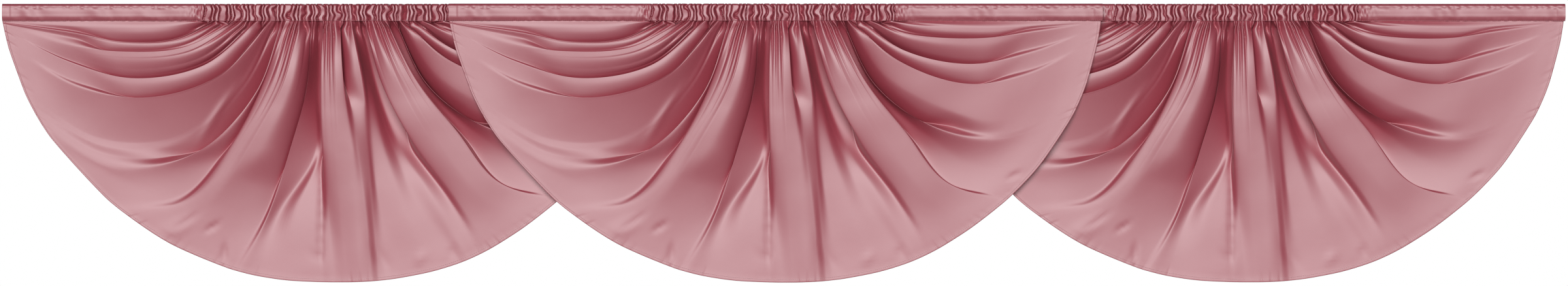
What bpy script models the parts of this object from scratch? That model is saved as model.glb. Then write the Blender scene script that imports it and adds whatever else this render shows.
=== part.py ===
"""Three-swag window valance.

Three half-moon swags of plain satin hang from flat rod pockets.  Each swag is a
cut panel whose straight top edge is gathered over its middle third and lies
smooth towards both corners, so folds fan out under the gathers and swing out to
the corners in shallow curves.  The middle swag hangs in front and overlaps the
other two.  Front faces -Y, +Z is up, and the origin is on the top edge of the
middle pocket.  Sizes are in metres unless a name says otherwise.
"""
import math
from collections import namedtuple

import bmesh
import bpy
import numpy as np

# ---------------------------------------------------------------- sizes
PANEL_WIDTH = 1.070          # corner to corner of one swag
DRAFT_WIDTH_MM = 1000.0      # width that the fold table is drafted for
GRADE = PANEL_WIDTH / DRAFT_WIDTH_MM

POCKET_HEIGHT = 0.0285       # rod pocket, top fold to seam
POCKET_DEPTH = 0.0130        # front to back, plain ends
POCKET_WALL = 0.0012         # cloth wall round the channel
POCKET_CORNER = 0.0040       # roundness of the pocket section
GATHER_LEFT = -196.0         # draft position of the first gather
GATHER_RIGHT = 184.0         # draft position of the last gather
RUFFLE_COUNT = 50            # ruffles across the gathers
RUFFLE_RISE = 0.0036         # height of a ruffle over the smooth pocket
RUFFLE_SWAY = 0.0016         # sideways wander of a ruffle

SHEET_THICKNESS = 0.0011     # one layer, as modelled
HEM_THICKNESS = 0.0017       # turned hem
SEAM_GAP = 0.0006            # pocket to panel, clear of the tilt of the top edge

LEFT_SHIFT = -0.734          # left swag from the middle one
RIGHT_SHIFT = 0.760          # right swag from the middle one
LEFT_BACK = 0.0178           # how far behind the middle swag the left one hangs
RIGHT_BACK = 0.0188          # and the right one

# Hem distance from the middle of the seam, every 15 degrees, left corner round
# to right corner (draft millimetres).
HEM_STEP_DEG = 15.0
HEM_REACH = (500, 476, 450, 428, 415, 406, 401, 409, 424, 438, 459, 481, 498)

# One row per fold line, left to right.  "gather" is where the line leaves the
# seam, the high, mid and low places are a quarter, a half and three quarters of
# the way along it, and "hem_deg" is where it meets the hem.  The last four columns
# say how far the cloth stands forward (+) or back (-) there: just under the
# gathers, in the upper swag, in the lower swag and near the hem.  All are draft
# millimetres.
Fold = namedtuple("Fold", "name gather high_x high_drop mid_x mid_drop low_x low_drop hem_deg "
                          "top upper lower foot")
FOLDS = (
    Fold("left_seam",          -196, -272,   0, -348,   0, -424,   0,   0.0,   0,   0,   0,   0),
    Fold("left_lip",           -193, -258,   9, -340,  11, -420,   6,   0.3,   1,   2,   1,   0),
    Fold("left_hollow_a",      -187, -240,  27, -312,  30, -402,  14,   0.5,  -5,  -9,  -2,   0),
    Fold("left_crest_a",       -177, -237,  34, -310,  37, -398,  20,   0.7,   1,  -2,   3,   1),
    Fold("left_hollow_b",      -160, -236,  39, -322,  44, -408,  25,   0.9,   0,  -4,  -2,  -1),
    Fold("left_crest_b",       -138, -222,  46, -316,  55, -406,  37,   1.2,   9,   9,   7,   2),
    Fold("left_hollow_c",      -112, -196,  64, -300,  88, -402,  53,   1.7, -12, -12,  -8,  -3),
    Fold("left_crest_c",       -106, -190,  71, -297,  99, -400,  64,   2.4,   2,   7,   3,   1),
    Fold("left_hollow_d",      -100, -180,  84, -291, 117, -394,  80,   4.5,  -5,  -6,  -4,  -1),
    Fold("left_crest_d",        -88, -159,  90, -262, 134, -376, 127,   9.0,  12,  13,   7,   1),
    Fold("left_streak_hollow",  -84, -143, 106, -234, 190, -358, 182,  13.5,  -4, -13,  -6,   0),
    Fold("left_streak_crest",   -80, -133, 113, -227, 198, -350, 193,  15.3, -10, -12,  -6,   0),
    Fold("left_hollow_e",       -76, -117, 120, -217, 204, -342, 204,  17.0, -20, -19,  -8,   0),
    Fold("left_crest_e",        -72, -109, 124, -204, 206, -326, 230,  22.0, -16, -10,   0,   1),
    Fold("left_hollow_f",       -68,  -92, 106, -150, 197, -226, 269,  39.5, -12, -13,  -6,   0),
    Fold("left_crest_f",        -62,  -85, 102, -140, 191, -207, 274,  44.0,  -4,  -1,   3,   1),
    Fold("left_ridge",          -46,  -71,  96, -117, 181, -171, 264,  55.0,  18,  18,   9,   2),
    Fold("fan_hollow_a",        -30,  -38, 100,  -66, 197,  -97, 292,  68.5, -10, -14, -11,  -3),
    Fold("fan_crest_a",         -24,  -31, 101,  -57, 197,  -88, 296,  70.5,   0,  -6,  -4,   0),
    Fold("fan_hollow_b",        -15,  -17, 103,  -30, 204,  -78, 294,  73.0, -22, -22, -11,  -1),
    Fold("fan_crest_b",         -12,  -13, 103,  -19, 206,  -70, 296,  75.5, -18,  -9,   0,   1),
    Fold("fan_hollow_c",         -9,   -9, 100,   -8, 200,   -6, 300,  88.3, -20, -14,  -7,  -5),
    Fold("middle_edge",          -4,   -4, 100,   -2, 200,    1, 300,  90.4,  10,  10,   2,   0),
    Fold("middle_ridge",         10,   13, 100,   20, 200,   30, 300,  96.0,  20,  19,  11,   3),
    Fold("tongue_hollow",        21,   27,  96,   46, 192,   57, 290,  99.0,  -3,   3,   7,   3),
    Fold("tongue_crest",         29,   45,  94,   57, 192,   68, 291, 100.8,  12,  10,   4,   0),
    Fold("fan_hollow_d",         38,   57,  98,   66, 197,   82, 295, 104.0,  -8,  -6,  -9,  -8),
    Fold("fan_crest_d",          42,   63, 100,   90, 196,  117, 293, 112.0, -12,  -2,   3,   1),
    Fold("fan_hollow_e",         45,   69, 101,  108, 192,  145, 285, 118.3, -18, -10,  -3,  -1),
    Fold("fan_crest_e",          48,   74, 100,  119, 189,  163, 279, 120.7, -22, -16,   3,   1),
    Fold("fan_hollow_f",         51,   80,  97,  127, 186,  181, 270, 123.0, -24, -21,  -7,  -1),
    Fold("right_edge",           57,   88,  94,  137, 182,  193, 264, 125.5,   2,   6,   3,   0),
    Fold("right_ridge",          84,  125,  88,  175, 165,  232, 245, 134.0,  17,  18,  10,   2),
    Fold("right_hollow_f",       95,  145,  94,  207, 178,  280, 253, 147.5, -15, -15, -11,  -1),
    Fold("right_floor",          99,  153,  98,  229, 182,  331, 222, 157.0, -17, -18, -12,  -1),
    Fold("right_crest_e",       102,  160, 101,  253, 170,  366, 163, 166.0, -16, -10,   4,   1),
    Fold("right_hollow_e",      106,  172, 103,  275, 166,  386, 128, 172.5, -19, -18,  -4,   0),
    Fold("right_crest_d",       114,  193,  81,  300, 114,  406,  83, 176.0,  11,  12,   6,   1),
    Fold("right_hollow_d",      126,  204,  68,  304,  95,  404,  62, 177.6, -13,  -9,  -4,  -1),
    Fold("right_crest_c",       129,  208,  61,  306,  78,  408,  50, 178.3, -10,  -2,   5,   2),
    Fold("right_hollow_c",      132,  210,  54,  309,  67,  406,  43, 178.8, -16, -14,  -6,  -2),
    Fold("right_crest_b",       150,  229,  37,  321,  40,  412,  29, 179.2,   8,   9,   6,   2),
    Fold("right_hollow_b",      170,  252,  25,  335,  27,  417,  19, 179.5,  -3,  -3,  -2,  -1),
    Fold("right_crest_a",       178,  256,  16,  338,  17,  420,  12, 179.7,   2,   3,   2,   0),
    Fold("right_seam",          184,  263,   0,  342,   0,  421,   0, 180.0,   0,   0,   0,   0),
)
SEAM_DEPTH_SHARE = 0.25      # share of "top" that is left at the seam itself
HEM_DEPTH_SHARE = 0.6        # share of "foot" that is left at the hem itself
DEPTH_PLACES = (0.0, 0.12, 0.35, 0.65, 0.92, 1.0)
DOWN_STATIONS = (0.0, 0.035, 0.08, 0.15, 0.24, 0.35, 0.47, 0.60, 0.73, 0.86, 0.965, 1.0)
WIDE_FOLD_MM = 20.0          # folds further apart than this get a column between

CLOTH_COLOUR = (0.50, 0.22, 0.25, 1.0)


# ---------------------------------------------------------------- curves
def through_points(xs, ys, slopes, x):
    """Cubic curve through (xs, ys) with the given slopes, read at x."""
    i = min(max(int(np.searchsorted(xs, x, side="right")) - 1, 0), len(xs) - 2)
    width = xs[i + 1] - xs[i]
    u = (x - xs[i]) / width
    return ((2 * u**3 - 3 * u**2 + 1) * ys[i] + (u**3 - 2 * u**2 + u) * width * slopes[i]
            + (3 * u**2 - 2 * u**3) * ys[i + 1] + (u**3 - u**2) * width * slopes[i + 1])


def smooth_slopes(xs, ys):
    """Slopes for a flowing curve."""
    return np.gradient(np.asarray(ys, float), np.asarray(xs, float))


def level_slopes(ys):
    """Slopes that level off at every crest and hollow, for even spacing."""
    steps = np.diff(np.asarray(ys, float))
    slopes = np.zeros(len(ys))
    for i in range(1, len(ys) - 1):
        before, after = steps[i - 1], steps[i]
        if before * after > 0:
            slopes[i] = 2 * before * after / (before + after)
    return slopes


def hem_point(degrees):
    """Place on the hem, in draft millimetres from the middle of the seam."""
    angles = [HEM_STEP_DEG * i for i in range(len(HEM_REACH))]
    reach = through_points(angles, HEM_REACH, smooth_slopes(angles, HEM_REACH), degrees)
    turn = math.radians(degrees)
    return -reach * math.cos(turn), -reach * math.sin(turn)


def column_fold(place):
    """The fold row at a place between folds, blended from its neighbours."""
    rows = range(len(FOLDS))
    values = []
    for column in list(zip(*FOLDS))[1:]:
        values.append(through_points(rows, column, level_slopes(column), place))
    return Fold("between", *values)


def column_point(fold, down):
    """Place along a column of cloth: x, y, z in metres, down from 0 to 1."""
    hem_x, hem_z = hem_point(fold.hem_deg)
    quarters = (0.0, 0.25, 0.5, 0.75, 1.0)
    across = (fold.gather, fold.high_x, fold.mid_x, fold.low_x, hem_x)
    drops = (0.0, -fold.high_drop, -fold.mid_drop, -fold.low_drop, hem_z)
    depths = (SEAM_DEPTH_SHARE * fold.top, fold.top, fold.upper, fold.lower, fold.foot,
              HEM_DEPTH_SHARE * fold.foot)
    x = through_points(quarters, across, smooth_slopes(quarters, across), down)
    z = through_points(quarters, drops, smooth_slopes(quarters, drops), down)
    depth = through_points(DEPTH_PLACES, depths, smooth_slopes(DEPTH_PLACES, depths), down)
    return x * GRADE, -depth * GRADE, z * GRADE


def column_places():
    """Columns of the panel: one on every fold line, one more between wide ones."""
    places = []
    for i, (fold, after) in enumerate(zip(FOLDS, FOLDS[1:])):
        places.append(float(i))
        reach = math.hypot(after.mid_x - fold.mid_x, after.mid_drop - fold.mid_drop)
        if reach > WIDE_FOLD_MM:
            places.append(i + 0.5)
    places.append(float(len(FOLDS) - 1))
    return places


# ---------------------------------------------------------------- pieces
def cloth_material():
    """Dusty rose satin."""
    material = bpy.data.materials.new("rose_satin")
    material.use_nodes = True
    shader = material.node_tree.nodes["Principled BSDF"]
    shader.inputs["Base Color"].default_value = CLOTH_COLOUR
    shader.inputs["Roughness"].default_value = 0.45
    shader.inputs["Metallic"].default_value = 0.0
    return material


def grid_mesh(name, columns, rows):
    """A flat grid of columns x rows points, and each point's column and row."""
    shape = bmesh.new()
    bmesh.ops.create_grid(shape, x_segments=columns - 1, y_segments=rows - 1, size=1.0)
    mesh = bpy.data.meshes.new(name)
    shape.to_mesh(mesh)
    shape.free()
    where = [(round((v.co.x + 1) / 2 * (columns - 1)), round((v.co.y + 1) / 2 * (rows - 1)))
             for v in mesh.vertices]
    return mesh, where


def make_panel_mesh():
    """The draped swag as an open sheet, with its top edge on the seam line."""
    places = column_places()
    mesh, where = grid_mesh("swag_panel", len(places), len(DOWN_STATIONS))
    columns = [[column_point(column_fold(place), down) for down in DOWN_STATIONS]
               for place in places]
    top = -(POCKET_HEIGHT + SEAM_GAP)
    for vertex, (column, row) in zip(mesh.vertices, where):
        x, y, z = columns[column][len(DOWN_STATIONS) - 1 - row]
        vertex.co = (x, y, z + top)
    return mesh, where


def make_panel(name, mesh, where, material):
    """One swag: the sheet with its thickness and its thicker turned hem."""
    panel = bpy.data.objects.new(name, mesh)
    PARTS.objects.link(panel)
    panel.data.materials.clear()
    panel.data.materials.append(material)
    group = panel.vertex_groups.new(name="layers")
    for index, (_, row) in enumerate(where):
        share = 1.0 if row <= 1 else SHEET_THICKNESS / HEM_THICKNESS
        group.add([index], share, "REPLACE")
    body = panel.modifiers.new("thickness", "SOLIDIFY")
    body.thickness = HEM_THICKNESS
    body.offset = 0.0
    body.vertex_group = "layers"
    for face in mesh.polygons:
        face.use_smooth = True
    return panel


def pocket_outline(sides_rise):
    """Rounded section of the pocket as (y, z, ruffle share) round its middle."""
    half_depth = POCKET_DEPTH / 2
    half_height = POCKET_HEIGHT / 2
    c = POCKET_CORNER
    front = ((-half_depth + c, half_height, 0.45), (-half_depth, half_height - c, 0.8),
             (-half_depth, 0.0, 1.0), (-half_depth, -half_height + c, 0.45),
             (-half_depth + c, -half_height, 0.0))
    back = ((half_depth - c, -half_height, 0.0), (half_depth, -half_height + c, 0.03),
            (half_depth, half_height - c, 0.05), (half_depth - c, half_height, 0.04))
    return [(y, z, share * sides_rise) for y, z, share in front + back]


def ruffle_columns():
    """Columns along the pocket: x, rise and sway of each."""
    left = GATHER_LEFT * GRADE
    pitch = (GATHER_RIGHT - GATHER_LEFT) * GRADE / RUFFLE_COUNT
    half = PANEL_WIDTH / 2
    columns = [(-half, 0.0, 0.0)]
    for k in range(2 * RUFFLE_COUNT + 1):
        ripple = math.sin(2.3 * k) + 0.6 * math.sin(5.1 * k + 1.0)
        x = left + pitch * k / 2 + 0.0007 * ripple
        rise = (0.75 + 0.2 * math.sin(1.7 * k)) if k % 2 else 0.0
        columns.append((x, rise, RUFFLE_SWAY * math.sin(1.1 * k + 0.6 * math.sin(0.37 * k))))
    columns.append((half, 0.0, 0.0))
    return columns


def make_pocket_mesh():
    """The rod pocket: a flat tube with raised ruffles, open from end to end."""
    columns = ruffle_columns()
    section = pocket_outline(1.0)
    mesh, where = grid_mesh("rod_pocket", len(columns), len(section) + 1)
    for vertex, (column, row) in zip(mesh.vertices, where):
        x, rise, sway = columns[column]
        y, z, share = section[row % len(section)]
        out = math.hypot(y, z)
        lift = RUFFLE_RISE * rise * share
        lean = sway * (1.0 if z > 0 else -1.0) * min(1.0, abs(z) / (POCKET_HEIGHT / 2))
        side = math.copysign(1.0, y)
        vertex.co = (x + lean, y + side * lift, z - POCKET_HEIGHT / 2)
        if abs(z) >= POCKET_HEIGHT / 2 - 1e-6 and z > 0 and out > 0:
            vertex.co = (x + lean, y, z - POCKET_HEIGHT / 2 - 0.35 * RUFFLE_RISE * (1 - rise) * share)
    shape = bmesh.new()
    shape.from_mesh(mesh)
    bmesh.ops.remove_doubles(shape, verts=shape.verts, dist=0.00001)
    bmesh.ops.holes_fill(shape, edges=shape.edges)
    bmesh.ops.recalc_face_normals(shape, faces=shape.faces)
    shape.to_mesh(mesh)
    shape.free()
    return mesh


def make_channel_cutter():
    """The smooth space that the rod slides into."""
    bpy.ops.mesh.primitive_cube_add(size=1.0, location=(0, 0, -POCKET_HEIGHT / 2))
    channel = bpy.context.object
    channel.name = "channel_cutter"
    channel.scale = (PANEL_WIDTH + 0.02, POCKET_DEPTH - 2 * POCKET_WALL,
                     POCKET_HEIGHT - 2 * POCKET_WALL)
    bpy.ops.object.transform_apply(location=True, rotation=False, scale=True)
    bevel = channel.modifiers.new("soft_corners", "BEVEL")
    bevel.width = POCKET_CORNER * 0.8
    bevel.segments = 1
    bevel.affect = "EDGES"
    bevel.limit_method = "WEIGHT"
    weights = channel.data.attributes.new("bevel_weight_edge", "FLOAT", "EDGE")
    for edge in channel.data.edges:
        a, b = (channel.data.vertices[i].co for i in edge.vertices)
        weights.data[edge.index].value = 1.0 if abs(a.x - b.x) > PANEL_WIDTH / 2 else 0.0
    for collection in list(channel.users_collection):
        collection.objects.unlink(channel)
    CUTTERS.objects.link(channel)
    channel.hide_render = True
    channel.display_type = "WIRE"
    return channel


def make_pocket(name, mesh, cutter, material, place):
    """One rod pocket with its channel cut through."""
    pocket = bpy.data.objects.new(name, mesh)
    PARTS.objects.link(pocket)
    pocket.data.materials.clear()
    pocket.data.materials.append(material)
    pocket.location = place
    own_cutter = cutter if place == (0.0, 0.0, 0.0) else cutter.copy()
    if own_cutter is not cutter:
        CUTTERS.objects.link(own_cutter)
        own_cutter.location = place
    cut = pocket.modifiers.new("channel", "BOOLEAN")
    cut.operation = "DIFFERENCE"
    cut.solver = "EXACT"
    cut.object = own_cutter
    return pocket


# ---------------------------------------------------------------- build
for old in list(bpy.data.objects):
    bpy.data.objects.remove(old, do_unlink=True)
PARTS = bpy.data.collections.new("three_swag_valance")
CUTTERS = bpy.data.collections.new("cutters")
bpy.context.scene.collection.children.link(PARTS)
bpy.context.scene.collection.children.link(CUTTERS)

satin = cloth_material()
panel_mesh, panel_where = make_panel_mesh()
pocket_mesh = make_pocket_mesh()
channel_cutter = make_channel_cutter()

for side, place in (("center", (0.0, 0.0, 0.0)), ("left", (LEFT_SHIFT, LEFT_BACK, 0.0)),
                    ("right", (RIGHT_SHIFT, RIGHT_BACK, 0.0))):
    swag = make_panel(side + "_panel", panel_mesh, panel_where, satin)
    swag.location = place
    make_pocket(side + "_rod_pocket", pocket_mesh, channel_cutter, satin, place)
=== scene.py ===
"""Dressed scene of a window valance made of three gathered satin swags.

Each swag is one half-moon panel of satin hung from a flat rod pocket.  The pocket
is ruffled over its middle third and smooth towards both corners, so folds fan out
under the ruffles and swing out to the corners.  The middle swag hangs in front of
the other two.  Fold positions are drafted in millimetres for a swag one metre wide
and graded up to the real width; everything else is in metres.
"""

import logging
import math
from dataclasses import dataclass
from enum import Enum

import bpy
import numpy as np
from mathutils import Matrix, Vector


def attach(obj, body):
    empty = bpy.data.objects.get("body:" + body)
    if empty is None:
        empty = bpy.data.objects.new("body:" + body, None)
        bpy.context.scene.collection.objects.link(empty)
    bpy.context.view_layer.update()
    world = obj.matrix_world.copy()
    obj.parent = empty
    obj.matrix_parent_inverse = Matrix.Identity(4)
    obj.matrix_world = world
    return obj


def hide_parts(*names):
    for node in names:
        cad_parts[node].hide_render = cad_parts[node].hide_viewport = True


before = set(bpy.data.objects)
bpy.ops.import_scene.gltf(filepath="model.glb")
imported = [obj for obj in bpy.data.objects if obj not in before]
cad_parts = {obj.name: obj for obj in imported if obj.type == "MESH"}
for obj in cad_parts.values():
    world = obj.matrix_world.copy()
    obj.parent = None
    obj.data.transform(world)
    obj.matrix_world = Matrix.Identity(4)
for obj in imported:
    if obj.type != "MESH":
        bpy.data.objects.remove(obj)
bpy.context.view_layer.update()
LOG = logging.getLogger("valance")

PANEL_WIDTH = 1.070
DRAFT_WIDTH_MM = 1000.0
GRADE = PANEL_WIDTH / DRAFT_WIDTH_MM
POCKET_HEIGHT = 0.0285
SEAM_Z = -0.0291
HEM_STEP_DEG = 15.0
HEM_REACH = (500, 476, 450, 428, 415, 406, 401, 409, 424, 438, 459, 481, 498)
HEM_DEPTH_SHARE = 0.6
DEPTH_PLACES = (0.0, 0.045, 0.12, 0.35, 0.65, 0.92, 1.0)


class Line(Enum):
    """What the cloth does at a fold line."""

    SEAM = "seam"
    CREST = "crest"
    HOLLOW = "hollow"


class Hang(Enum):
    """How a piece of cloth is held."""

    GATHERED = "gathered"
    HUNG = "hung"


@dataclass(frozen=True)
class Fold:
    """One fold line of a swag, in draft millimetres.

    gather is where it leaves the seam, the high, mid and low places are a quarter,
    a half and three quarters of the way along it, and hem_deg is the bearing where
    it meets the hem.  top, upper, lower and foot say how far the cloth stands
    forward along it.  tuck is how far down, as a share of its drop, a hollow runs in
    under a crest: the next one, or the one before where it is below 0.
    """

    name: str
    gather: float
    high_x: float
    high_drop: float
    mid_x: float
    mid_drop: float
    low_x: float
    low_drop: float
    hem_deg: float
    top: float
    upper: float
    lower: float
    foot: float
    tuck: float

    @property
    def line(self) -> Line:
        """Kind of line, read from its name."""
        if "seam" in self.name:
            return Line.SEAM
        return Line.HOLLOW if "hollow" in self.name or "floor" in self.name else Line.CREST


FOLDS: tuple[Fold, ...] = (
    Fold("left_seam",          -196, -272,   0, -348,   0, -424,   0,   0.0,   0,   0,   0,  0,   0),
    Fold("left_lip",           -193, -258,   9, -340,  10, -420,   6,  0.15,   1,   2,   1,  0,   0),
    Fold("left_hollow_a",      -187, -242,  24, -322,  26, -404,  13,  0.25,  -9, -10,  -2,  0,0.62),
    Fold("left_crest_a",       -177, -238,  28, -314,  32, -400,  17,  0.35,   0,   1,   3,  1,   0),
    Fold("left_hollow_b",      -160, -234,  34, -318,  39, -407,  23,   0.5,  -3,  -5,   0,  0,0.62),
    Fold("left_crest_b",       -142, -222,  41, -316,  47, -405,  35,   0.7,  11,  12,   5,  0,   0),
    Fold("left_hollow_c",      -117, -197,  62, -300,  83, -402,  58,   1.2, -18,  -8,  -1,  0,0.62),
    Fold("left_crest_c",       -110, -191,  68, -297,  88, -400,  62,   1.5,   2,   7,   4,  0,   0),
    Fold("left_hollow_d",      -102, -178,  78, -285, 110, -392,  90,   3.4, -11,  -4,   1,  0,0.62),
    Fold("left_crest_d",        -92, -166,  83, -273, 117, -386, 101,   4.8,   9,  13,   6,  0,   0),
    Fold("left_streak_hollow",  -84, -141,  98, -232, 177, -352, 180,  13.5,  -4,  -4,  -4, -1,   0),
    Fold("left_streak_crest",   -80, -134, 102, -224, 185, -346, 190,  15.3,  -7,  -7,  -4, -1,   0),
    Fold("left_hollow_e",       -76, -117, 109, -206, 196, -338, 206,  17.5, -32, -28,  -2,  0,0.52),
    Fold("left_crest_e",        -71, -112, 112, -199, 200, -322, 226,  22.0,   6,  11,   3,  1,   0),
    Fold("left_hollow_f",       -69, -108, 108, -159, 197, -227, 268,  39.5,   2,  -1,  -2,  0, 0.5),
    Fold("left_crest_f",        -66, -103, 105, -151, 194, -215, 272,  44.0,   9,  12,   4,  1,   0),
    Fold("left_ridge",          -46,  -71,  96, -117, 181, -171, 264,  55.0,  17,  18,   9,  2,   0),
    Fold("fan_hollow_a",        -30,  -37, 100,  -64, 197,  -96, 292,  68.5, -12, -13,  -8, -1, 0.6),
    Fold("fan_crest_a",         -26,  -33, 101,  -59, 197,  -92, 296,  70.5,   2,   2,  -2,  0,   0),
    Fold("fan_hollow_b",        -15,  -22, 103,  -22, 204,  -75, 294,  74.5, -17, -17,  -9, -1,   0),
    Fold("fan_crest_b",         -13,  -18, 103,  -16, 206,  -50, 298,  82.0, -23, -23,  -3,  0,   0),
    Fold("fan_hollow_c",        -10,  -13, 100,  -12, 200,  -11, 300,  88.9, -30, -30,  -4,  0, 0.5),
    Fold("middle_edge",          -7,-10.5, 100, -8.5, 200,    0, 300,  91.2,  16,  16,   2,  0,   0),
    Fold("middle_ridge",          5,    7, 100,   12, 200,   20, 300,  94.0,  18,  18,   7,  2,   0),
    Fold("middle_shoulder",      18,   25,  98,   36, 197,   44, 295,  97.2,  17,  16,   9,  4,   0),
    Fold("tongue_hollow",        24,   31,  96,   45, 192,   57, 290,  99.4, -12,   9,   8,  3,-0.28),
    Fold("tongue_crest",         34,   52,  94,   60, 192,   68, 291, 101.2,  12,   7,   4,  0,   0),
    Fold("fan_hollow_d",         38,   59,  98,   67, 197,   82, 295, 104.0,  -4,   2,   0, -1,   0),
    Fold("fan_crest_d",          42,   64, 100,   86, 196,  115, 293, 112.0, -14,  -5,   0,  0,   0),
    Fold("fan_hollow_e",         45,   68, 101,   98, 192,  143, 285, 118.3, -21, -17,  -3, -1,   0),
    Fold("fan_crest_e",          48,   71, 100,  107, 190,  163, 279, 120.7, -26, -25,  -3,  0,   0),
    Fold("fan_hollow_f",         51,   76,  97,  119, 186,  181, 270, 123.0, -31, -30,  -8,  0,0.48),
    Fold("right_edge",           55,   82,  95,  128, 182,  190, 265, 125.5,   8,  14,   5,  1,   0),
    Fold("right_ridge",          76,  115,  90,  161, 171,  222, 254, 133.0,  17,  18,  10,  2,   0),
    Fold("right_shoulder",       89,  137,  92,  197, 168,  258, 245, 141.5,  15,  15,   8,  1,   0),
    Fold("right_hollow_f",       95,  143,  90,  203, 171,  266, 249, 143.5, -20, -26, -12,  0,-0.5),
    Fold("right_floor",          99,  147,  94,  221, 167,  305, 222, 151.0, -18, -13,  -6,  0,   0),
    Fold("right_crest_e",       102,  152,  98,  238, 161,  342, 182, 162.5,  -2,   8,   4,  0,   0),
    Fold("right_hollow_e",      106,  157,  92,  246, 153,  346, 172, 164.5, -32, -29,   1,  0,-0.5),
    Fold("right_rise_e",        110,  168,  85,  262, 136,  358, 152, 168.5,   4,   8,   5,  0,   0),
    Fold("right_crest_d",       116,  189,  62,  288,  96,  389,  82, 176.4,  12,  13,   6,  0,   0),
    Fold("right_hollow_d",      126,  195,  56,  291,  86,  392,  72, 177.4, -12,  -5,   1,  0,-0.62),
    Fold("right_crest_c",       130,  200,  47,  296,  66,  396,  48, 178.8,   4,   8,   4,  0,   0),
    Fold("right_hollow_c",      133,  204,  42,  299,  58,  399,  40, 179.1, -18, -10,  -1,  0,-0.62),
    Fold("right_crest_b",       150,  212,  22,  308,  27,  406,  16, 179.6,  11,  13,   5,  0,   0),
    Fold("right_hollow_b",      166,  222,  14,  316,  20,  412,  10,179.75,  -5,  -5,   0,  0,-0.62),
    Fold("right_crest_a",       176,  240,   8,  335,  11,  416,   6,179.88,   4,   5,   2,  0,   0),
    Fold("right_seam",          184,  263,   0,  342,   0,  421,   0, 180.0,   0,   0,   0,  0,   0),
)


@dataclass(frozen=True)
class Crease:
    """A short soft crease or tuck pressed into the cloth, in draft millimetres."""

    name: str
    start: tuple[float, float]
    middle: tuple[float, float]
    end: tuple[float, float]
    width: float
    rise: float


CREASES: tuple[Crease, ...] = (
    Crease("left_pinch", (-242, -320), (-222, -312), (-198, -294), 6, -1.0),
    Crease("left_wedge_streak", (-198, -186), (-172, -138), (-138, -94), 6, 1.8),
    Crease("middle_fall", (-9, -205), (-11, -290), (-12, -386), 5, -2.0),
    Crease("middle_dimple", (-26, -352), (-16, -372), (-6, -350), 5, -1.2),
    Crease("tongue_foot", (64, -335), (78, -366), (94, -380), 9, -1.1),
    Crease("left_small_pinch", (-190, -321), (-178, -317), (-166, -311), 4, -1.4),
    Crease("left_dimple", (-161, -343), (-160, -356), (-158, -370), 4, -1.6),
    Crease("left_low_roll", (-262, -330), (-235, -322), (-205, -300), 12, 1.6),
    Crease("right_tuck", (355, -243), (365, -237), (376, -232), 4, -1.3),
    Crease("right_low_tuck", (132, -372), (140, -364), (150, -356), 5, 1.2),
    Crease("right_hem_tuck", (186, -362), (190, -355), (196, -346), 4, -1.1),
)


# ---------------------------------------------------------------- curve maths
def hermite(xs: np.ndarray, ys: np.ndarray, leave: np.ndarray, arrive: np.ndarray,
            x: np.ndarray) -> np.ndarray:
    """Cubic curve through points, with its own slope on each side of a point.

    Args:
        xs: Places of the points, rising.
        ys: Values there, one row per point, any further axes.
        leave: Slope on the far side of each point.
        arrive: Slope on the near side of each point.
        x: Where to read the curve.

    Returns:
        The values at x.
    """
    i = np.clip(np.searchsorted(xs, x, side="right") - 1, 0, len(xs) - 2)
    width = xs[i + 1] - xs[i]
    u = (x - xs[i]) / width
    shape = (len(x),) + (1,) * (ys.ndim - 1)
    width, u = width.reshape(shape), u.reshape(shape)
    return ((2 * u**3 - 3 * u**2 + 1) * ys[i] + (u**3 - 2 * u**2 + u) * width * leave[i]
            + (3 * u**2 - 2 * u**3) * ys[i + 1] + (u**3 - u**2) * width * arrive[i + 1])


def flowing(xs: np.ndarray, ys: np.ndarray, x: np.ndarray) -> np.ndarray:
    """Read a smooth curve through points.

    Args:
        xs: Places of the points.
        ys: Values there.
        x: Where to read it.

    Returns:
        The values at x.
    """
    slopes = np.gradient(ys, xs, axis=0)
    if x.ndim != 1:
        return hermite(xs, ys, slopes, slopes, x.ravel()).reshape(x.shape)
    return hermite(xs, ys, slopes, slopes, x)


def level_slopes(ys: np.ndarray) -> np.ndarray:
    """Slopes that level off at each highest and lowest row, for even spacing."""
    step = np.diff(ys, axis=0)
    before = np.vstack([step[:1], step])
    after = np.vstack([step, step[-1:]])
    same = before * after > 0
    return np.where(same, 2 * before * after / np.where(same, before + after, 1.0), 0.0)


def scatter(k: np.ndarray, salt: float) -> np.ndarray:
    """Repeatable uneven number from 0 to 1 for each whole number k.

    Args:
        k: Whole numbers.
        salt: Any number; another one gives another set.

    Returns:
        Numbers from 0 to 1.
    """
    return np.mod(np.sin(k * 12.9898 + salt * 78.233) * 43758.5453, 1.0)


def ease(x: np.ndarray) -> np.ndarray:
    """Smooth step from 0 to 1 as x goes from 0 to 1."""
    x = np.clip(x, 0.0, 1.0)
    return x * x * (3 - 2 * x)


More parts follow.
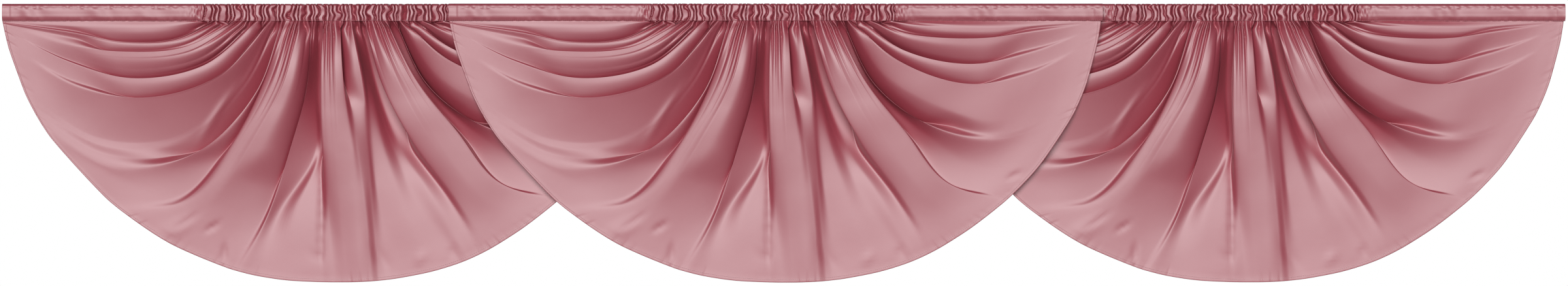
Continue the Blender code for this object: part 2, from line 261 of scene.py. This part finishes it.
def sheet_mesh(name: str, points: np.ndarray, wrap: bool = False) -> bpy.types.Mesh:
    """Make a smooth mesh from a grid of points.

    Args:
        name: Name of the mesh.
        points: Grid of points, columns x rows x 3, in metres.
        wrap: Join the last row to the first, as on a tube.

    Returns:
        The mesh, with a UV map that runs in metres along the grid.
    """
    columns, rows = points.shape[:2]
    number = np.arange(columns * rows).reshape(columns, rows)
    ahead = np.roll(number, -1, axis=1)
    if not wrap:
        number_in, ahead_in = number[:, :-1], ahead[:, :-1]
    else:
        number_in, ahead_in = number, ahead
    faces = np.stack([number_in[:-1], number_in[1:], ahead_in[1:], ahead_in[:-1]], -1).reshape(-1, 4)
    mesh = bpy.data.meshes.new(name)
    mesh.vertices.add(columns * rows)
    mesh.vertices.foreach_set("co", points.reshape(-1).astype(np.float32))
    mesh.loops.add(faces.size)
    mesh.loops.foreach_set("vertex_index", faces.reshape(-1).astype(np.int32))
    mesh.polygons.add(len(faces))
    mesh.polygons.foreach_set("loop_start", np.arange(0, faces.size, 4, dtype=np.int32))
    mesh.polygons.foreach_set("use_smooth", np.ones(len(faces), dtype=bool))
    mesh.update(calc_edges=True)
    middle = rows // 2
    across = np.zeros(columns)
    across[1:] = np.cumsum(np.linalg.norm(np.diff(points[:, middle], axis=0), axis=1))
    along = np.zeros((columns, rows))
    along[:, 1:] = np.cumsum(np.linalg.norm(np.diff(points, axis=1), axis=2), axis=1)
    grain = np.stack([np.repeat(across[:, None], rows, 1), along], -1).reshape(-1, 2)
    layer = mesh.uv_layers.new(name="grain")
    layer.data.foreach_set("uv", grain[faces.reshape(-1)].reshape(-1).astype(np.float32))
    mesh.validate()
    return mesh


# ---------------------------------------------------------------- finishes
@dataclass(frozen=True)
class SatinFinish:
    """Dusty rose satin: a saturated ground under a broad pale sheen."""

    ground: tuple[float, float, float] = (0.400, 0.034, 0.066)
    pale: tuple[float, float, float] = (0.430, 0.042, 0.077)
    roughness: float = 0.56
    specular: float = 1.0
    index: float = 1.93
    sheen: float = 0.0
    sheen_roughness: float = 0.50
    anisotropy: float = 0.0
    thread_pitch: float = 0.00045
    bump: float = 0.12

    def material(self) -> bpy.types.Material:
        """Build the satin with its weave, slubs and slight shade changes.

        Returns:
            The material.
        """
        material = bpy.data.materials.new("rose_satin_cloth")
        material.use_nodes = True
        nodes, links = material.node_tree.nodes, material.node_tree.links
        shader = nodes["Principled BSDF"]
        shader.inputs["Roughness"].default_value = self.roughness
        shader.inputs["Specular IOR Level"].default_value = self.specular
        shader.inputs["IOR"].default_value = self.index
        shader.inputs["Sheen Weight"].default_value = self.sheen
        shader.inputs["Sheen Roughness"].default_value = self.sheen_roughness
        shader.inputs["Sheen Tint"].default_value = (1.0, 0.86, 0.88, 1.0)
        shader.inputs["Anisotropic"].default_value = self.anisotropy
        place = nodes.new("ShaderNodeTexCoord")
        grain = nodes.new("ShaderNodeUVMap")
        grain.uv_map = "grain"
        mottle = nodes.new("ShaderNodeTexNoise")
        mottle.inputs["Scale"].default_value = 9.0
        mottle.inputs["Detail"].default_value = 3.0
        links.new(place.outputs["Object"], mottle.inputs["Vector"])
        shade = nodes.new("ShaderNodeMix")
        shade.data_type = "RGBA"
        shade.inputs["A"].default_value = (*self.ground, 1.0)
        shade.inputs["B"].default_value = (*self.pale, 1.0)
        links.new(mottle.outputs["Fac"], shade.inputs["Factor"])
        links.new(shade.outputs["Result"], shader.inputs["Base Color"])
        heights = []
        for direction, pitch in (("X", self.thread_pitch), ("Y", self.thread_pitch * 2.2)):
            threads = nodes.new("ShaderNodeTexWave")
            threads.bands_direction = direction
            threads.inputs["Scale"].default_value = 0.314 / pitch / 2
            threads.inputs["Distortion"].default_value = 0.6
            threads.inputs["Detail"].default_value = 1.0
            links.new(grain.outputs["UV"], threads.inputs["Vector"])
            heights.append(threads)
        weave = nodes.new("ShaderNodeMath")
        weave.operation = "ADD"
        links.new(heights[0].outputs["Fac"], weave.inputs[0])
        links.new(heights[1].outputs["Fac"], weave.inputs[1])
        fine = nodes.new("ShaderNodeBump")
        fine.inputs["Strength"].default_value = self.bump
        fine.inputs["Distance"].default_value = 0.0001
        links.new(weave.outputs["Value"], fine.inputs["Height"])
        ripple = nodes.new("ShaderNodeTexNoise")
        ripple.inputs["Scale"].default_value = 55.0
        ripple.inputs["Detail"].default_value = 2.0
        links.new(place.outputs["Object"], ripple.inputs["Vector"])
        soft = nodes.new("ShaderNodeBump")
        soft.inputs["Strength"].default_value = 0.10
        soft.inputs["Distance"].default_value = 0.001
        links.new(ripple.outputs["Fac"], soft.inputs["Height"])
        links.new(fine.outputs["Normal"], soft.inputs["Normal"])
        links.new(soft.outputs["Normal"], shader.inputs["Normal"])
        tangent = nodes.new("ShaderNodeTangent")
        tangent.direction_type = "UV_MAP"
        tangent.uv_map = "grain"
        links.new(tangent.outputs["Tangent"], shader.inputs["Tangent"])
        return material


@dataclass(frozen=True)
class ThreadFinish:
    """Sewing thread, a shade paler than the satin."""

    colour: tuple[float, float, float] = (0.66, 0.36, 0.39)
    roughness: float = 0.6

    def material(self) -> bpy.types.Material:
        """Build the thread with a little fleck along it."""
        material = bpy.data.materials.new("rose_thread")
        material.use_nodes = True
        nodes, links = material.node_tree.nodes, material.node_tree.links
        shader = nodes["Principled BSDF"]
        shader.inputs["Roughness"].default_value = self.roughness
        fleck = nodes.new("ShaderNodeTexNoise")
        fleck.inputs["Scale"].default_value = 900.0
        tint = nodes.new("ShaderNodeMix")
        tint.data_type = "RGBA"
        tint.inputs["A"].default_value = (*(0.86 * c for c in self.colour), 1.0)
        tint.inputs["B"].default_value = (*self.colour, 1.0)
        links.new(fleck.outputs["Fac"], tint.inputs["Factor"])
        links.new(tint.outputs["Result"], shader.inputs["Base Color"])
        return material


# ---------------------------------------------------------------- cloth shapes
@dataclass(frozen=True)
class Gathers:
    """The ruffles that the seam pulls the cloth into, shared by pocket and panel."""

    left: float = -196.0
    right: float = 184.0
    count: int = 50
    sway: float = 0.24

    def phase(self, x_mm: np.ndarray, height: np.ndarray) -> np.ndarray:
        """Count of ruffles from the left, which wanders as a ridge climbs.

        Args:
            x_mm: Place along the seam, in draft millimetres.
            height: Height over the seam, in pocket heights; negative below it.

        Returns:
            The ruffle number, with its fraction across the ruffle.
        """
        q = (x_mm - self.left) / (self.right - self.left) * self.count
        q = q + 0.25 * np.sin(1.9 * q + 0.7) + 0.08 * np.sin(4.3 * q + 2.0)
        wander = (np.sin(0.33 * q + 6.0 * height) + 0.55 * np.sin(0.9 * q - 8.5 * height + 1.0)
                  + 0.25 * np.sin(0.21 * q + 15.0 * height))
        return q + self.sway * wander * ease(height + 0.6) * 0.8

    def ridge(self, phase: np.ndarray, height: np.ndarray, fullness: float,
              slot: float | np.ndarray) -> np.ndarray:
        """Rounded ridge with a sharp gap on each side, uneven from one to the next.

        Args:
            phase: Ruffle number from phase().
            height: Height over the seam, in pocket heights.
            fullness: How broad the top of each ridge is, 0 to 1.
            slot: How much deeper the cloth pinches together in the very gap.

        Returns:
            Rise of the cloth, about 0 in a gap and up to 1 on a ridge.
        """
        k = np.floor(phase)
        u = phase - k
        u = u ** (0.75 + 0.6 * scatter(k, 3.0))
        swell = 0.62 + 0.38 * scatter(k, 1.0)
        swell = swell * (1.0 - 0.25 * (0.5 + 0.5 * np.sin(6.0 * height + 6.3 * scatter(k, 5.0))))
        out = np.abs(2 * u - 1)
        rise = swell * (1.0 - np.clip((out - fullness) / (1 - fullness), 0, 1)**1.4)
        return rise - slot * (0.6 + 0.4 * swell) * np.exp(-((1 - out) / 0.17)**2)


@dataclass
class SwagPanel:
    """The draped half-moon panel of one swag, with its turned hem."""

    gathers: Gathers
    columns: int = 820
    rows: int = 100
    hem_width: float = 0.0052
    hem_pucker: float = 0.5
    hem_thickness: float = 0.0009
    ruffle_depth: float = 7.5
    fullness: float = 0.14
    slot: float = 0.45
    seam_lift: float = 4.0
    deepest: float = 36.5
    steep_side: float = 2.7
    gentle_side: float = 1.25
    broad_top: float = 0.30
    seam_share: float = 0.14
    upper_share: float = 0.52
    tuck_slope: float = 0.30
    tuck_reach: float = 3.0

    def hem_points(self, degrees: np.ndarray) -> tuple[np.ndarray, np.ndarray]:
        """Places on the hem by bearing, in draft millimetres from mid seam."""
        angles = HEM_STEP_DEG * np.arange(len(HEM_REACH))
        reach = flowing(angles, np.asarray(HEM_REACH, float), degrees)
        turn = np.radians(degrees)
        return -reach * np.cos(turn), -reach * np.sin(turn)

    def fold_lines(self, down: np.ndarray) -> np.ndarray:
        """Run of every fold line, each on its own curve from seam to hem.

        Args:
            down: Places from the seam, 0, to the hem, 1.

        Returns:
            Folds x places x 2, the x and z of each line in draft millimetres.
        """
        table = np.array([(f.gather, f.high_x, f.mid_x, f.low_x, f.high_drop, f.mid_drop, f.low_drop,
                           f.hem_deg) for f in FOLDS])
        hem_x, hem_z = self.hem_points(table[:, 7])
        quarters = np.linspace(0, 1, 5)
        x = flowing(quarters, np.column_stack([table[:, :4], hem_x]).T, down).T
        z = flowing(quarters, np.column_stack([0 * hem_x, -table[:, 4:7], hem_z]).T, down).T
        return np.stack([x, z], -1)

    def tucks(self, line: np.ndarray, depth: np.ndarray, down: np.ndarray) -> tuple[np.ndarray, np.ndarray]:
        """How far each hollow runs in under the crest beside it.

        Args:
            line: Folds x places x 2, the run of each fold line.
            depth: Folds x places, depth forward of each fold line.
            down: Places from the seam, 0, to the hem, 1.

        Returns:
            Shift of each fold line in draft millimetres, and how fully it is tucked, 0 to 1.
        """
        shift = np.zeros_like(line)
        share = np.zeros_like(depth)
        for k, fold in enumerate(FOLDS):
            if fold.tuck:
                beside = k + int(math.copysign(1, fold.tuck))
                climb = depth[beside] - depth[k]
                step = line[beside] - line[k]
                wide = np.maximum(np.linalg.norm(step, axis=1), 1e-6)
                share[k] = (ease(climb / wide / self.tuck_slope) * ease((30.0 - wide) / 14.0)
                            * ease(climb / 3.0) * ease(down / 0.04)
                            * ease((abs(fold.tuck) - down) / 0.16 + 0.5))
                reach = wide + np.minimum(self.tuck_reach, 0.12 * climb)
                shift[k] = step / wide[:, None] * (reach * share[k])[:, None]
        return shift, share

    def fold_depths(self, down: np.ndarray) -> np.ndarray:
        """How far each fold line stands forward at the given places, in draft millimetres."""
        depths = np.array([(self.seam_share * f.top, self.upper_share * f.top, f.top, f.upper, f.lower,
                            f.foot, HEM_DEPTH_SHARE * f.foot) for f in FOLDS])
        return np.array([flowing(np.array(DEPTH_PLACES), row, down) for row in depths])

    def fold_profile(self, depth: np.ndarray, share: np.ndarray, places: np.ndarray) -> np.ndarray:
        """Depth across the folds: a broad top on each crest, an even fall, a crisp tucked edge.

        Args:
            depth: Folds x places, depth forward of each fold line.
            share: Folds x places, how fully each hollow is tucked.
            places: Fold number of each column, with its fraction between folds.

        Returns:
            Columns x places, depth forward.
        """
        step = np.diff(depth, axis=0)
        before, after = np.vstack([step[:1], step]), np.vstack([step, step[-1:]])
        both = level_slopes(depth)
        back = np.array([f.tuck < 0 for f in FOLDS])[:, None]
        share = share * ((before < 0) & (after > 0))
        leave = both + share * (np.where(back, self.gentle_side, self.steep_side) * after - both)
        arrive = both + share * (np.where(back, self.steep_side, self.gentle_side) * before - both)
        peak = ease(np.minimum(before, -after) / 4.0)
        k = np.clip(places.astype(int), 0, len(FOLDS) - 2)
        u = (places - k)[:, None] + 0 * depth[:1]
        from_low = np.where(back[k + 1], 0.0, share[k + 1] * peak[k])
        from_high = np.where(back[k], share[k] * peak[k + 1], 0.0)
        u = u + from_low * (self.hold(u) - u) + from_high * (1 - self.hold(1 - u) - u)
        return ((2 * u**3 - 3 * u**2 + 1) * depth[k] + (u**3 - 2 * u**2 + u) * leave[k]
                + (3 * u**2 - 2 * u**3) * depth[k + 1] + (u**3 - u**2) * arrive[k + 1])

    def hold(self, u: np.ndarray) -> np.ndarray:
        """Fraction across a fold's face, kept near 0 over the broad top of the crest."""
        bend = [np.hypot(v - self.broad_top, 0.08) + v for v in (u, 0.0, 1.0)]
        return (bend[0] - bend[1]) / (bend[2] - bend[1])

    def column_places(self) -> np.ndarray:
        """Columns, shared out by the width of each fold at the seam and half way."""
        at_seam = np.diff([f.gather for f in FOLDS])
        half_way = np.hypot(np.diff([f.mid_x for f in FOLDS]), np.diff([f.mid_drop for f in FOLDS]))
        share = 0.70 * at_seam / at_seam.sum() + 0.24 * half_way / half_way.sum() + 0.06 / len(at_seam)
        edges = np.concatenate([[0.0], np.cumsum(share)])
        edges /= edges[-1]
        return np.interp(np.linspace(0, 1, self.columns), edges, np.arange(len(FOLDS)))

    def surface(self) -> np.ndarray:
        """The draped sheet as a grid of points.

        Returns:
            Columns x rows x 3, in metres, from the seam down to the hem's fold.
        """
        even = np.linspace(0, 1, self.rows)
        down = 0.45 * even + 0.55 * even**2.1
        places = self.column_places()
        line, depth = self.fold_lines(down), self.fold_depths(down)
        shift, share = self.tucks(line, depth, down)
        line = line + shift
        slopes = level_slopes(line)
        run = hermite(np.arange(len(FOLDS), dtype=float), line, slopes, slopes, places)
        x, z = run[..., 0], run[..., 1]
        depth = self.fold_profile(depth, share, places)
        start = x[:, :1]
        path = np.zeros_like(x)
        path[:, 1:] = np.cumsum(np.hypot(np.diff(x, axis=1), np.diff(z, axis=1)), axis=1)
        phase = self.gathers.phase(start + 0 * x, -path / 60.0)
        number = np.floor(phase)
        fade_length = 14.0 + 40.0 * scatter(number, 7.0)**2
        fade = np.exp(-np.maximum(path - 9.0, 0) / fade_length)
        ridge = self.gathers.ridge(phase, -path / 60.0, self.fullness, self.slot * fade)
        inside = ease((start - self.gathers.left) / 8.0) * ease((self.gathers.right - start) / 8.0)
        swell = self.ruffle_depth * (1.0 + 0.4 * ease(path / 10.0))
        depth = depth + swell * inside * fade * (ridge - 0.55)
        depth = depth + self.seam_lift * inside * np.exp(-(path / 12.0)**2)
        depth = depth + self.creases(x, z) + self.ripples(x, z, path)
        points = np.stack([x, -np.maximum(depth, -self.deepest), z], -1) * GRADE
        points[:, :, 2] += SEAM_Z + 0.0008
        return self.turn_hem(points)

    def creases(self, x: np.ndarray, z: np.ndarray) -> np.ndarray:
        """Depth that the short creases add, in draft millimetres."""
        total = np.zeros_like(x)
        for crease in CREASES:
            u = np.linspace(0, 1, 24)
            px = (1 - u)**2 * crease.start[0] + 2 * u * (1 - u) * crease.middle[0] + u**2 * crease.end[0]
            pz = (1 - u)**2 * crease.start[1] + 2 * u * (1 - u) * crease.middle[1] + u**2 * crease.end[1]
            reach = 3 * crease.width
            near = ((x > px.min() - reach) & (x < px.max() + reach)
                    & (z > pz.min() - reach) & (z < pz.max() + reach))
            if not near.any():
                continue
            gap = np.hypot(x[near][:, None] - px, z[near][:, None] - pz)
            best = gap.argmin(axis=1)
            strength = np.sin(np.pi * (0.08 + 0.84 * u[best]))
            total[near] += crease.rise * strength * np.exp(-(gap.min(axis=1) / crease.width)**2)
        return total

    def ripples(self, x: np.ndarray, z: np.ndarray, path: np.ndarray) -> np.ndarray:
        """Slight unevenness of hung cloth and puckers at its hem, in draft millimetres."""
        slow = (np.sin(x / 31.0 + 0.8 * np.sin(z / 47.0)) * np.sin(z / 39.0 + 1.3)
                + 0.6 * np.sin(x / 17.0 - z / 23.0 + 2.0) * np.sin(z / 29.0 + x / 53.0))
        inner = path[:, -1:] - path
        hem_run = np.cumsum(np.hypot(np.gradient(x[:, -1]), np.gradient(z[:, -1])))[:, None]
        tick = np.sin(hem_run / 2.6 + 3.0 * np.sin(hem_run / 41.0)) * np.sin(hem_run / 23.0 + 0.7)
        pucker = self.hem_pucker * np.clip(tick, 0, 1)**2 * np.exp(-(inner / 8.0)**2)
        return 0.35 * slow * ease(path / 40.0) - pucker

    def turn_hem(self, points: np.ndarray) -> np.ndarray:
        """Thicken the edge and turn it under, as a narrow stitched hem.

        Args:
            points: The sheet's grid, down to the edge.

        Returns:
            The grid with extra rows for the turned edge.
        """
        edge = points[:, -1]
        inward = points[:, -6] - edge
        inward /= np.linalg.norm(inward, axis=1)[:, None]
        out = np.zeros_like(edge)
        out[:, 1] = -1.0
        keep = np.linalg.norm(points - edge[:, None], axis=2) > self.hem_width * 1.35
        rows_kept = self.rows - 1 - np.argmax(keep[:, ::-1], axis=1).min()
        body = points[:, :rows_kept]
        bands = ((1.18, 0.00), (1.04, 0.06), (0.97, 0.20), (0.86, 0.32), (0.6, 0.40), (0.25, 0.42),
                 (0.04, 0.36), (0.0, 0.0), (0.05, -0.5), (0.4, -0.9), (0.95, -0.8))
        extra = []
        for reach, lift in bands:
            spot = edge + inward * self.hem_width * reach
            spot = spot + out * self.hem_thickness * lift
            extra.append(spot)
        return np.concatenate([body, np.stack(extra, 1)], axis=1)


@dataclass(frozen=True)
class PocketSection:
    """Half section of the pocket: share of its depth at each share of its height."""

    heights: tuple[float, ...]
    depths: tuple[float, ...]

    def depth(self, height: np.ndarray) -> np.ndarray:
        """Depth share at the given height shares."""
        return np.maximum(flowing(np.array(self.heights), np.array(self.depths), height), 0.02)


PLAIN_SECTION = PocketSection((0.00, 0.05, 0.16, 0.45, 0.70, 0.79, 0.825, 0.86, 0.93, 1.00),
                              (0.10, 0.40, 0.80, 1.00, 0.98, 0.93, 0.84, 0.86, 0.60, 0.16))
RUFFLED_SECTION = PocketSection((0.00, 0.08, 0.25, 0.50, 0.80, 0.93, 1.00),
                                (0.86, 0.91, 0.97, 1.00, 0.98, 0.82, 0.45))


@dataclass
class RodPocket:
    """The flat pocket that the rod slides into, ruffled over its middle."""

    gathers: Gathers
    columns: int = 1400
    front_rows: int = 27
    back_rows: int = 7
    half_depth: float = 0.0062
    ruffle_rise: float = 0.0070
    fullness: float = 0.42
    slot: float = 0.90
    lean: float = 0.0011
    dimple: float = 0.0011
    pucker: float = 0.0005
    side_hem: float = 0.0125

    def stations(self) -> np.ndarray:
        """Places along the pocket, closer over the ruffles, in metres."""
        half = PANEL_WIDTH / 2
        left, right = self.gathers.left * GRADE, self.gathers.right * GRADE
        plain = int(self.columns * 0.13)
        return np.concatenate([np.linspace(-half, left, plain, endpoint=False),
                               np.linspace(left, right, self.columns - 2 * plain, endpoint=False),
                               np.linspace(right, half, plain)])

    def surface(self) -> np.ndarray:
        """The pocket as a tube of points, open at both ends.

        Returns:
            Columns x points around x 3, in metres.
        """
        x = self.stations()[:, None]
        down_front = np.linspace(1, 0, self.front_rows)
        up_back = np.linspace(0, 1, self.back_rows)
        height = np.concatenate([down_front, up_back])[None, :] + 0 * x
        side = np.concatenate([np.ones(self.front_rows), -np.ones(self.back_rows)])[None, :] + 0 * x
        mm = x / GRADE
        gathered = ease((mm - self.gathers.left) / 9.0 + 0.5) * ease((self.gathers.right - mm) / 9.0 + 0.5)
        section = (PLAIN_SECTION.depth(height) * (1 - gathered)
                   + RUFFLED_SECTION.depth(height) * gathered) * self.half_depth
        phase = self.gathers.phase(mm + 0 * height, height)
        ridge = self.gathers.ridge(phase, height, self.fullness, self.slot)
        swell = (0.84 + 0.16 * ease(height / 0.30)) * (1.0 - 0.30 * ease((height - 0.85) / 0.15))
        rise = self.ruffle_rise * swell * (ridge - 0.50) * gathered
        lean = self.lean * (2 * scatter(np.floor(phase), 9.0) - 1) * (ridge - 0.5) * gathered
        y = -side * (section + np.where(side > 0, rise, 0.2 * np.maximum(rise, -0.002)))
        y = y + self.plain_relief(x, height, side) * (1 - gathered)
        top = ease((height - 0.86) / 0.14)
        z = -POCKET_HEIGHT * (1 - height) + 0.0005 * (ridge - 0.8) * top * gathered
        grid = np.stack([x + lean, y, z - 0.0002], -1)
        grid[:, :, 0] = np.clip(grid[:, :, 0], -PANEL_WIDTH / 2, PANEL_WIDTH / 2)
        return grid

    def plain_relief(self, x: np.ndarray, height: np.ndarray, side: np.ndarray) -> np.ndarray:
        """Dimples, stitch puckers and side hems of the smooth ends, in metres."""
        body = ease(height / 0.22) * ease((0.82 - height) / 0.2)
        slant = np.sin(x * 128.0 + height * 2.4 + 1.5 * np.sin(x * 37.0))
        dimple = slant * (0.55 + 0.45 * np.sin(x * 61.0 - height * 1.4 + 0.5))
        seam = np.exp(-(height / 0.13)**2) + 0.9 * np.exp(-((height - 0.80) / 0.07)**2)
        ticks = np.sin(x * 560.0 + 1.5 * np.sin(x * 90.0)) + 0.7 * np.sin(x * 388.0 + 1.0)
        from_end = PANEL_WIDTH / 2 - np.abs(x)
        hem = 0.0007 * (1 - ease((from_end - self.side_hem) / 0.0016))
        crumple = self.crumple(x, height)
        return -side * (self.dimple * body * dimple + self.pucker * seam * ticks + hem + crumple)

    def crumple(self, x: np.ndarray, height: np.ndarray) -> np.ndarray:
        """Slanting tucks where the smooth ends run into the ruffles, in metres."""
        left_gap = self.gathers.left * GRADE - x
        right_gap = x - self.gathers.right * GRADE
        gap = np.where(x < 0, left_gap, right_gap)
        near = np.exp(-np.maximum(gap, 0) / 0.011)
        return 0.0016 * near * (np.sin(gap * 560.0 + height * 7.0)
                                + 0.5 * np.sin(gap * 900.0 - height * 9.0))


@dataclass
class StitchRow:
    """A row of short lockstitches laid along a line of points."""

    name: str
    pitch: float = 0.0034
    length: float = 0.0024
    radius: float = 0.00028

    def mesh(self, line: np.ndarray, face_out: Vector) -> bpy.types.Mesh:
        """Build every stitch of the row as one mesh.

        Args:
            line: Points along the row, in metres.
            face_out: Direction that the face of the cloth looks.

        Returns:
            The mesh.
        """
        run = np.concatenate([[0.0], np.cumsum(np.linalg.norm(np.diff(line, axis=0), axis=1))])
        centres = np.arange(self.pitch / 2, run[-1], self.pitch)
        at = np.stack([np.interp(centres, run, line[:, i]) for i in range(3)], -1)
        ahead = np.stack([np.interp(centres + 0.0012, run, line[:, i]) for i in range(3)], -1)
        along = ahead - np.stack([np.interp(centres - 0.0012, run, line[:, i]) for i in range(3)], -1)
        along /= np.maximum(np.linalg.norm(along, axis=1), 1e-9)[:, None]
        out = np.array(face_out)
        side = np.cross(along, out)
        side /= np.maximum(np.linalg.norm(side, axis=1), 1e-9)[:, None]
        lift = np.cross(side, along)
        rings = ((-0.5, 0.35), (-0.32, 0.9), (0.0, 1.0), (0.32, 0.9), (0.5, 0.35))
        sides = 6
        turn = np.arange(sides) / sides * 2 * np.pi
        points, faces = [], []
        for ring, (place, fat) in enumerate(rings):
            for angle in turn:
                points.append(at + along * self.length * place
                              + side * self.radius * fat * math.cos(angle)
                              + lift * self.radius * fat * math.sin(angle)
                              + out * self.radius * (0.35 * math.cos(math.pi * place)))
            if ring:
                for j in range(sides):
                    a, b = (ring - 1) * sides + j, (ring - 1) * sides + (j + 1) % sides
                    faces.append((a, b, b + sides, a + sides))
        block = np.stack(points, 1)
        per = block.shape[1]
        every = [tuple(v + per * n for v in face) for n in range(len(at)) for face in faces]
        mesh = bpy.data.meshes.new(self.name)
        mesh.from_pydata(block.reshape(-1, 3).tolist(), [], every)
        mesh.polygons.foreach_set("use_smooth", [True] * len(mesh.polygons))
        return mesh


# ---------------------------------------------------------------- assembly
@dataclass(frozen=True)
class Station:
    """Where one swag hangs."""

    name: str
    shift: float
    step_back: float


@dataclass
class Valance:
    """The three swags, dressed."""

    satin: bpy.types.Material
    thread: bpy.types.Material
    stations: tuple[Station, ...] = (Station("center", 0.0, 0.0), Station("left", -0.734, 0.0178),
                                     Station("right", 0.760, 0.0188))
    cut_width: float = 1.25
    cut_drop: float = 0.48
    cut_area: float = 0.51
    pocket_flat: float = 0.0415

    def build(self) -> list[bpy.types.Object]:
        """Make the cloth once and hang it at each station.

        Returns:
            Every piece made.
        """
        gathers = Gathers()
        panel = SwagPanel(gathers)
        pocket = RodPocket(gathers)
        drape = panel.surface()
        tube = pocket.surface()
        panel_mesh = sheet_mesh("swag_cloth", drape)
        pocket_mesh = sheet_mesh("pocket_cloth", tube, wrap=True)
        hem_line = drape[:, -9] + np.array([0.0, -0.0002, 0.0])
        hem_mesh = StitchRow("hem_stitches", radius=0.00036).mesh(hem_line, Vector((0, -1, 0)))
        seam_mesh = StitchRow("seam_stitches", radius=0.00025).mesh(
            self.seam_line(tube), Vector((0, -1, 0)))
        made = []
        for station in self.stations:
            sheet = self.hang(station, station.name + "_swag", panel_mesh, self.satin)
            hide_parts(station.name + "_panel")
            sleeve = self.hang(station, station.name + "_pocket", pocket_mesh, self.satin)
            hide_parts(station.name + "_rod_pocket")
            hem = self.hang(station, station.name + "_hem_stitches", hem_mesh, self.thread)
            seam = self.hang(station, station.name + "_seam_stitches", seam_mesh, self.thread)
            made += [sheet, sleeve, hem, seam]
        return made

    def seam_line(self, tube: np.ndarray) -> np.ndarray:
        """Line of the pocket's seam on its face, just over the bottom edge."""
        rows = np.abs(tube[0, :, 2] - (-POCKET_HEIGHT + 0.0012)) + 10 * (tube[0, :, 1] > 0)
        return tube[:, int(rows.argmin())] + np.array([0.0, -0.00012, 0.0])

    def hang(self, station: Station, name: str, mesh: bpy.types.Mesh,
             finish: bpy.types.Material) -> bpy.types.Object:
        """Hang one piece at its station, riding on the part.

        Args:
            station: Where it hangs.
            name: Name of the piece.
            mesh: Its mesh.
            finish: Its material.

        Returns:
            The piece.
        """
        own = mesh.copy()
        own.name = name
        own.materials.clear()
        own.materials.append(finish)
        own.transform(Matrix.Translation((station.shift, station.step_back, 0)))
        piece = bpy.data.objects.new(name, own)
        bpy.context.scene.collection.objects.link(piece)
        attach(piece, "root")
        return piece


@dataclass
class Studio:
    """Floor, light and camera."""

    lens: float = 135.0
    sensor: float = 36.0
    frame_width: float = 2.5680
    middle: tuple[float, float, float] = (0.0134, 0.0, -0.2287)
    floor_z: float = -2.10
    key_strength: float = 2.42
    fill_strength: float = 1.1

    def build(self) -> None:
        """Set up the whole studio."""
        self.camera()
        self.floor()
        self.sun("key_light", (-4.0, 14.0), self.key_strength, 34.0)
        self.sun("back_fill", (176.0, 24.0), self.fill_strength, 60.0)
        self.world()

    def camera(self) -> None:
        """Camera straight in front of the cloth."""
        data = bpy.data.cameras.new("front_camera")
        data.lens, data.sensor_width = self.lens, self.sensor
        data.clip_end = 100.0
        camera = bpy.data.objects.new("front_camera", data)
        x, y, z = self.middle
        camera.location = (x, y - self.frame_width * self.lens / self.sensor, z)
        camera.rotation_euler = (math.pi / 2, 0, 0)
        bpy.context.scene.collection.objects.link(camera)
        bpy.context.scene.camera = camera

    def floor(self) -> None:
        """Plain pale floor well below the hems."""
        bpy.ops.mesh.primitive_plane_add(size=8.0, location=(0, 0, self.floor_z))
        floor = bpy.context.object
        floor.name = "pale_floor"
        paint = bpy.data.materials.new("pale_floor_paint")
        paint.use_nodes = True
        shader = paint.node_tree.nodes["Principled BSDF"]
        shader.inputs["Base Color"].default_value = (0.86, 0.86, 0.85, 1.0)
        shader.inputs["Roughness"].default_value = 0.8
        floor.data.materials.append(paint)

    def sun(self, name: str, bearing: tuple[float, float], strength: float, spread: float) -> None:
        """A soft far light.

        Args:
            name: Name of the light.
            bearing: Degrees to the right of straight ahead, and degrees up.
            strength: Light strength.
            spread: Angular size in degrees.
        """
        data = bpy.data.lights.new(name, "SUN")
        data.energy = strength
        data.angle = math.radians(spread)
        lamp = bpy.data.objects.new(name, data)
        turn, rise = (math.radians(v) for v in bearing)
        aim = Vector((math.sin(turn) * math.cos(rise), -math.cos(turn) * math.cos(rise), math.sin(rise)))
        lamp.rotation_euler = aim.to_track_quat("Z", "Y").to_euler()
        lamp.location = aim * 4
        bpy.context.scene.collection.objects.link(lamp)

    def world(self) -> None:
        """White surround, dimmer as a light than it looks."""
        world = bpy.data.worlds.new("white_surround")
        world.use_nodes = True
        nodes, links = world.node_tree.nodes, world.node_tree.links
        glow = nodes["Background"]
        glow.inputs["Color"].default_value = (1.0, 0.99, 0.99, 1.0)
        glow.inputs["Strength"].default_value = 0.02
        seen = nodes.new("ShaderNodeBackground")
        seen.inputs["Color"].default_value = (1.0, 1.0, 1.0, 1.0)
        seen.inputs["Strength"].default_value = 1.0
        path = nodes.new("ShaderNodeLightPath")
        mix = nodes.new("ShaderNodeMixShader")
        links.new(path.outputs["Is Camera Ray"], mix.inputs["Fac"])
        links.new(glow.outputs["Background"], mix.inputs[1])
        links.new(seen.outputs["Background"], mix.inputs[2])
        links.new(mix.outputs["Shader"], nodes["World Output"].inputs["Surface"])
        bpy.context.scene.world = world
        bpy.context.scene.view_settings.view_transform = "Standard"


def main() -> None:
    """Build the studio and the valance, and report each piece."""
    logging.basicConfig(level=logging.INFO, format="%(name)s: %(message)s")
    Studio().build()
    pieces = Valance(SatinFinish().material(), ThreadFinish().material()).build()
    for piece in pieces:
        LOG.info("%s: %d faces", piece.name, len(piece.data.polygons))


if __name__ == "__main__":
    main()
